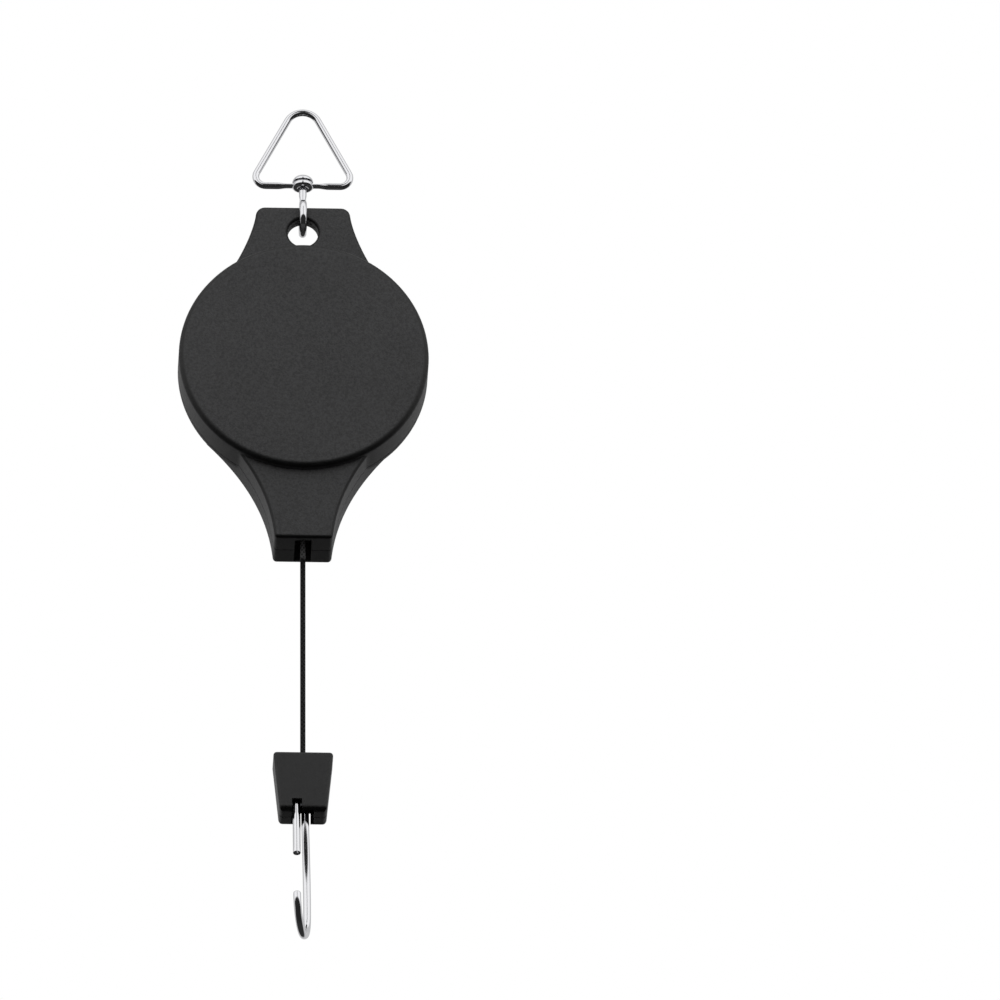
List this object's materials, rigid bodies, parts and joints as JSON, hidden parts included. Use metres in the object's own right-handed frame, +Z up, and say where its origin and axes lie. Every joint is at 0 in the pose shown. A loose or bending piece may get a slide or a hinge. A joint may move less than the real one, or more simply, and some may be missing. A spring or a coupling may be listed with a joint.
{
  "type": "retractable hanging reel",
  "caption": "Spring reel in a round two-part case with a swivel ring above and, on its cord, an end block with an open wire hook.",
  "frame": {"origin": "hang point: the inside of the ring's top bend, where the ring rests on whatever it hangs from", "axes": "+Z up against the pull of the cord, -Y the front face of the case, +X to the right seen from the front"},
  "size_m": [0.08, 0.024, 0.2954],
  "materials": {
    "case": "fine-grained charcoal black moulding",
    "block": "fine-grained black moulding",
    "chrome": "polished chrome wire",
    "steel": "plain zinc-plated steel",
    "spool": "grey moulded nylon",
    "bush": "white acetal",
    "cord": "black braided nylon"
  },
  "bodies": {
    "ring": {"ring": "chrome"},
    "swivel": {"swivel_eye": "chrome"},
    "casing": {"front_cover": "case", "rear_cover": "case", "case_screw_1": "steel", "case_screw_2": "steel", "case_screw_3": "steel", "case_screw_4": "steel", "axle": "steel", "axle_screw": "steel", "axle_washer": "steel", "pawl_pin": "steel", "pawl_spring": "steel", "cord_guide": "bush", "cord_inner": "cord"},
    "spool": {"spool": "spool", "spool_bush": "bush", "spring_cover": "steel", "mainspring": "steel", "cord_wound": "cord"},
    "pawl": {"pawl": "bush"},
    "cord_end": {"cord": "cord", "cord_ferrule": "steel"},
    "block": {"block_front": "block", "block_rear": "block", "block_screw_1": "steel", "block_screw_2": "steel", "hook_pin": "steel"},
    "hook": {"hook": "chrome"}
  },
  "joints": [
    {"name": "ring_swivel", "type": "hinge", "parent": "ring", "child": "swivel", "pos_m": [0, 0, -0.0254], "axis": [0, 0, 1], "continuous": true},
    {"name": "casing_swing", "type": "hinge", "parent": "swivel", "child": "casing", "pos_m": [0, 0, -0.0371], "axis": [1, 0, 0], "range_deg": [-80, 80]},
    {"name": "cord_pull", "type": "slide", "parent": "casing", "child": "cord_end", "axis": [0, 0, -1], "range_m": [-0.0734, 0.5956], "deforming": ["cord"]},
    {"name": "spool_turn", "type": "hinge", "parent": "casing", "child": "spool", "pos_m": [0, 0, -0.092], "axis": [0, 1, 0], "continuous": true},
    {"name": "pawl_tilt", "type": "hinge", "parent": "casing", "child": "pawl", "pos_m": [-0.011, 0, -0.0754], "axis": [0, 1, 0], "range_deg": [0, 8], "stiffness_Nm_per_rad": 0.0005},
    {"name": "block_turn", "type": "hinge", "parent": "cord_end", "child": "block", "pos_m": [0, 0, -0.2306], "axis": [0, 0, 1], "continuous": true},
    {"name": "hook_swing", "type": "hinge", "parent": "block", "child": "hook", "pos_m": [0, 0, -0.246], "axis": [1, 0, 0], "range_deg": [-15, 15]}
  ],
  "couplings": [
    {"joint": "spool_turn", "follows": "cord_pull", "rad_per_m": 42.194}
  ]
}
